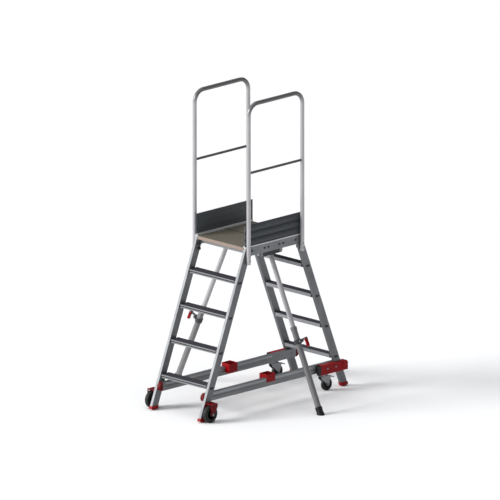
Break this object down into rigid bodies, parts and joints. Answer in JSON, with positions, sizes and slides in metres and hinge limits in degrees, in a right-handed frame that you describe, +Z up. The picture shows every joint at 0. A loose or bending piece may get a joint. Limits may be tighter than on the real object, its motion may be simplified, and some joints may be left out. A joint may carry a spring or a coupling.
{
  "type": "mobile double-sided work platform",
  "caption": "Mobile ladder stand: two leaning ladders carry a guarded deck over base bars with wheels, braked castors and side stabilisers.",
  "frame": {"origin": "on the floor, below the middle of the deck", "axes": "+Z up, +X to the right across the treads, +Y from the front ladder with the fixed wheels to the rear ladder with the castors"},
  "size_m": [1.5128, 1.5534, 2.363],
  "materials": {
    "aluminium": "anodised extrusion, satin, fine drawn lines",
    "guardrail_aluminium": "bright drawn tube",
    "cast_aluminium": "cast, lightly rough",
    "zinc_steel": "zinc plated",
    "dark_steel": "dark passivated steel",
    "deck_board": "film-faced plywood with an anti-slip face and bare plies at the edges",
    "toe_board_coating": "anthracite coating over a corrugated profile",
    "tread_cover": "ribbed anti-slip cover",
    "red_plastic": "moulded, satin",
    "dark_red_plastic": "moulded, satin",
    "black_plastic": "moulded, fine grain",
    "grey_plastic": "moulded, satin",
    "tyre": "solid tyre, matt",
    "black_rubber": "moulded rubber, matt"
  },
  "bodies": {
    "frame": {"bar_end_caps": "dark_red_plastic", "base_bar_left": "aluminium", "base_bar_right": "aluminium", "base_bolts": "zinc_steel", "castor_housings": "zinc_steel", "centre_hinges": "dark_steel", "deck_cross_beams": "aluminium", "deck_panel_front": "deck_board", "deck_panel_rear": "deck_board", "foot_caps": "red_plastic", "front_axles": "zinc_steel", "front_stile_left": "aluminium", "front_stile_right": "aluminium", "front_tread_1": "aluminium", "front_tread_2": "aluminium", "front_tread_3": "aluminium", "front_tread_4": "aluminium", "guardrail_knobs": "black_plastic", "guardrail_left": "guardrail_aluminium", "guardrail_right": "guardrail_aluminium", "mid_rails": "guardrail_aluminium", "platform_bolts": "dark_steel", "rear_bracket_left": "red_plastic", "rear_bracket_right": "red_plastic", "rear_stile_left": "aluminium", "rear_stile_right": "aluminium", "rear_tread_1": "aluminium", "rear_tread_2": "aluminium", "rear_tread_3": "aluminium", "rear_tread_4": "aluminium", "side_rail_left": "aluminium", "side_rail_right": "aluminium", "stabiliser_brackets": "zinc_steel", "stow_cups": "red_plastic", "toe_board_channels": "aluminium", "toe_board_left": "toe_board_coating", "toe_board_right": "toe_board_coating", "tread_bolts": "dark_steel", "tread_inserts": "tread_cover", "wheel_brackets": "dark_red_plastic"},
    "front_wheel_left": {"front_tyre_left": "tyre", "front_rim_left": "grey_plastic"},
    "front_wheel_right": {"front_tyre_right": "tyre", "front_rim_right": "grey_plastic"},
    "castor_swivel_left": {"castor_fork_left": "zinc_steel"},
    "castor_swivel_right": {"castor_fork_right": "zinc_steel"},
    "castor_roller_left": {"castor_wheel_left": "black_rubber"},
    "castor_roller_right": {"castor_wheel_right": "black_rubber"},
    "castor_brake_left": {"brake_pedal_left": "zinc_steel"},
    "castor_brake_right": {"brake_pedal_right": "zinc_steel"},
    "upper_leg_left": {"stabiliser_upper_left": "aluminium"},
    "upper_leg_right": {"stabiliser_upper_right": "aluminium"},
    "lower_leg_left": {"stabiliser_lower_left": "aluminium", "clamp_collar_left": "cast_aluminium", "rubber_foot_left": "black_rubber"},
    "lower_leg_right": {"stabiliser_lower_right": "aluminium", "clamp_collar_right": "cast_aluminium", "rubber_foot_right": "black_rubber"},
    "lever_left": {"clamp_lever_left": "red_plastic"},
    "lever_right": {"clamp_lever_right": "red_plastic"}
  },
  "joints": [
    {"name": "front_wheel_spin_left", "type": "hinge", "parent": "frame", "child": "front_wheel_left", "pos_m": [-0.303, -0.705, 0.065], "axis": [1, 0, 0], "continuous": true},
    {"name": "castor_swivel_turn_left", "type": "hinge", "parent": "frame", "child": "castor_swivel_left", "pos_m": [-0.258, 0.522, 0.119], "axis": [0, 0, 1], "continuous": true},
    {"name": "castor_roll_left", "type": "hinge", "parent": "castor_swivel_left", "child": "castor_roller_left", "pos_m": [-0.258, 0.558, 0.05], "axis": [1, 0, 0], "continuous": true},
    {"name": "brake_pedal_lift_left", "type": "hinge", "parent": "castor_swivel_left", "child": "castor_brake_left", "pos_m": [-0.258, 0.582, 0.104], "axis": [1, 0, 0], "range_deg": [0, 16]},
    {"name": "stabiliser_swing_left", "type": "hinge", "parent": "frame", "child": "upper_leg_left", "pos_m": [-0.176, -0.032, 1.176], "axis": [0, -1, 0], "range_deg": [0, 18]},
    {"name": "stabiliser_slide_left", "type": "slide", "parent": "upper_leg_left", "child": "lower_leg_left", "axis": [0.4226, 0, 0.9063], "range_m": [-0.1, 0.4]},
    {"name": "clamp_lever_turn_left", "type": "hinge", "parent": "lower_leg_left", "child": "lever_left", "pos_m": [-0.56759, -0.032, 0.55865], "axis": [0, 1, 0], "range_deg": [0, 110]},
    {"name": "front_wheel_spin_right", "type": "hinge", "parent": "frame", "child": "front_wheel_right", "pos_m": [0.303, -0.705, 0.065], "axis": [1, 0, 0], "continuous": true},
    {"name": "castor_swivel_turn_right", "type": "hinge", "parent": "frame", "child": "castor_swivel_right", "pos_m": [0.258, 0.522, 0.119], "axis": [0, 0, 1], "continuous": true},
    {"name": "castor_roll_right", "type": "hinge", "parent": "castor_swivel_right", "child": "castor_roller_right", "pos_m": [0.258, 0.558, 0.05], "axis": [1, 0, 0], "continuous": true},
    {"name": "brake_pedal_lift_right", "type": "hinge", "parent": "castor_swivel_right", "child": "castor_brake_right", "pos_m": [0.258, 0.582, 0.104], "axis": [1, 0, 0], "range_deg": [0, 16]},
    {"name": "stabiliser_swing_right", "type": "hinge", "parent": "frame", "child": "upper_leg_right", "pos_m": [0.176, 0.032, 1.176], "axis": [0, 1, 0], "range_deg": [0, 18]},
    {"name": "stabiliser_slide_right", "type": "slide", "parent": "upper_leg_right", "child": "lower_leg_right", "axis": [-0.4226, 0, 0.9063], "range_m": [-0.1, 0.4]},
    {"name": "clamp_lever_turn_right", "type": "hinge", "parent": "lower_leg_right", "child": "lever_right", "pos_m": [0.56759, 0.032, 0.55865], "axis": [0, -1, 0], "range_deg": [0, 110]}
  ]
}
